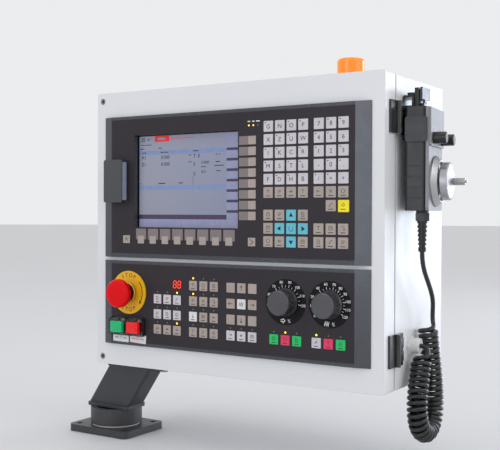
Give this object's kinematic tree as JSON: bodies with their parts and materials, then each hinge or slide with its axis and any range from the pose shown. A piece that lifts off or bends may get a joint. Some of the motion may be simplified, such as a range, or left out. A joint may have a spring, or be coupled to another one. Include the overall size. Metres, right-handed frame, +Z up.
{
  "type": "cnc lathe operator console",
  "caption": "Swivelling operator console: a sheet-metal cabinet on a leaning arm, with a hinged control door, screen, keys, emergency stop, dials, beacon and a corded handwheel pendant.",
  "frame": {"origin": "centre of the arm's base flange, on its underside", "axes": "+X to the operator's right, +Y away from the operator, +Z up, along the swivel axis"},
  "size_m": [0.5768, 0.2312, 0.5307],
  "materials": {
    "cabinet_paint": "satin powder coat",
    "arm_paint": "satin black powder coat",
    "steel": "machined",
    "nylon": "matte",
    "screw_steel": "zinc plated",
    "gasket_rubber": "matte",
    "hinge_zinc": "satin",
    "panel_plastic": "satin moulded",
    "membrane_film": "fine texture",
    "screen": "lit display behind glass",
    "housing_steel": "galvanised",
    "black_plastic": "satin moulded",
    "digits": "dark red filter",
    "estop_yellow": "printed plate",
    "collar_metal": "anodised",
    "estop_red": "gloss moulded",
    "button_green": "gloss moulded",
    "button_red": "gloss moulded",
    "clear_plastic": "clear moulded",
    "knob_plastic": "satin moulded",
    "flap_plastic": "satin moulded",
    "pendant_plastic": "satin moulded",
    "pendant_film": "silver-grey film",
    "wheel_metal": "turned",
    "encoder_steel": "plated",
    "cord_sheath": "satin sheath",
    "gland_white": "moulded",
    "amber_lens": "translucent moulded",
    "key_light": "embossed film",
    "key_taupe": "embossed film",
    "key_shade": "embossed film",
    "key_cyan": "embossed film",
    "key_yellow": "embossed film",
    "key_green": "embossed film",
    "key_pink": "embossed film",
    "print_white": "printed",
    "print_dark": "printed",
    "sticker": "paper label",
    "indicator": "lit"
  },
  "bodies": {
    "base": {"arm_base_flange": "arm_paint", "swivel_pivot": "steel", "thrust_washer": "nylon"},
    "console": {"swivel_hub": "arm_paint", "support_arm": "arm_paint", "floor_backing_plate": "steel", "arm_flange_screws": "screw_steel", "cabinet_shell": "cabinet_paint", "rear_cover": "cabinet_paint", "rear_cover_screws": "screw_steel", "door_gasket": "gasket_rubber", "hinge_fixed_leaves": "hinge_zinc", "hinge_pins": "steel", "hinge_screw_caps": "hinge_zinc", "pendant_housing": "pendant_plastic", "pendant_face": "pendant_film", "handwheel_bezel": "wheel_metal", "handwheel_encoder": "encoder_steel", "hanger_bracket": "hinge_zinc", "hanger_hook": "steel", "pendant_gland": "black_plastic", "strain_relief": "black_plastic", "cord_lead": "cord_sheath", "cord_coil": "cord_sheath", "cord_tail": "cord_sheath", "cabinet_gland": "gland_white", "beacon_base": "black_plastic", "beacon_lens": "amber_lens"},
    "door": {"hinge_door_leaves": "hinge_zinc", "door_panel": "cabinet_paint", "door_screws": "screw_steel", "display_bezel": "panel_plastic", "display_membrane": "membrane_film", "display_screen": "screen", "display_housing": "housing_steel", "panel_clamps": "steel", "control_bezel": "panel_plastic", "control_membrane": "membrane_film", "control_housing": "housing_steel", "digit_display": "digits", "estop_plate": "estop_yellow", "estop_collar": "collar_metal", "estop_contact_block": "black_plastic", "power_button_base": "black_plastic", "override_switches": "black_plastic", "interface_frame": "flap_plastic"},
    "estop_plunger": {"estop_stem": "black_plastic"},
    "estop_mushroom": {"estop_head": "estop_red"},
    "power_on": {"power_on_button": "button_green"},
    "power_off": {"power_off_button": "button_red"},
    "on_guard": {"power_on_guard": "clear_plastic"},
    "off_guard": {"power_off_guard": "clear_plastic"},
    "spindle_dial": {"spindle_knob": "knob_plastic"},
    "feed_dial": {"feed_knob": "knob_plastic"},
    "flap": {"interface_cover": "flap_plastic"},
    "wheel": {"handwheel": "wheel_metal"},
    "crank": {"crank_grip": "wheel_metal"},
    "axis_selector": {"axis_knob": "black_plastic"},
    "step_selector": {"step_knob": "black_plastic"},
    "enable": {"enable_button": "pendant_plastic"}
  },
  "joints": [
    {"name": "swivel", "type": "hinge", "parent": "base", "child": "console", "pos_m": [0, 0, 0.012], "axis": [0, 0, 1], "range_deg": [-60, 60]},
    {"name": "door_hinge", "type": "hinge", "parent": "console", "child": "door", "pos_m": [0.4563, -0.0085, 0.301], "axis": [0, 0, 1], "range_deg": [0, 90]},
    {"name": "estop_push", "type": "slide", "parent": "door", "child": "estop_plunger", "axis": [0, 1, 0], "range_m": [0, 0.0045]},
    {"name": "estop_twist", "type": "hinge", "parent": "estop_plunger", "child": "estop_mushroom", "pos_m": [0.0626, -0.066, 0.2115], "axis": [0, 1, 0], "range_deg": [0, 45], "stiffness_Nm_per_rad": 0.05},
    {"name": "power_on_press", "type": "slide", "parent": "door", "child": "power_on", "axis": [0, 1, 0], "range_m": [0, 0.003], "stiffness_N_per_m": 400},
    {"name": "power_off_press", "type": "slide", "parent": "door", "child": "power_off", "axis": [0, 1, 0], "range_m": [0, 0.003], "stiffness_N_per_m": 400},
    {"name": "on_guard_hinge", "type": "hinge", "parent": "door", "child": "on_guard", "pos_m": [0.048, -0.0518, 0.17375], "axis": [-1, 0, 0], "range_deg": [0, 100]},
    {"name": "off_guard_hinge", "type": "hinge", "parent": "door", "child": "off_guard", "pos_m": [0.0772, -0.0518, 0.17375], "axis": [-1, 0, 0], "range_deg": [0, 100]},
    {"name": "spindle_override", "type": "hinge", "parent": "door", "child": "spindle_dial", "pos_m": [0.3189, -0.06, 0.2115], "axis": [0, 1, 0], "range_deg": [-135, 135]},
    {"name": "feed_override", "type": "hinge", "parent": "door", "child": "feed_dial", "pos_m": [0.3817, -0.06, 0.2115], "axis": [0, 1, 0], "range_deg": [-135, 135]},
    {"name": "flap_hinge", "type": "hinge", "parent": "door", "child": "flap", "pos_m": [0.0273, -0.0507, 0.3692], "axis": [0, 0, -1], "range_deg": [0, 100]},
    {"name": "handwheel_turn", "type": "hinge", "parent": "console", "child": "wheel", "pos_m": [0.48793, 0.0327, 0.3645], "axis": [0.9914, 0.1305, 0], "continuous": true},
    {"name": "crank_spin", "type": "hinge", "parent": "wheel", "child": "crank", "pos_m": [0.5058, 0.05018, 0.3645], "axis": [0.9914, 0.1305, 0], "continuous": true},
    {"name": "axis_select", "type": "hinge", "parent": "console", "child": "axis_selector", "pos_m": [0.49365, 0.01227, 0.417], "axis": [0.9914, 0.1305, 0], "range_deg": [-75, 75]},
    {"name": "step_select", "type": "hinge", "parent": "console", "child": "step_selector", "pos_m": [0.48816, 0.05391, 0.417], "axis": [0.9914, 0.1305, 0], "range_deg": [-45, 45]},
    {"name": "enable_press", "type": "slide", "parent": "console", "child": "enable", "axis": [-0.1305, 0.9914, 0], "range_m": [0, 0.0015], "stiffness_N_per_m": 500}
  ]
}
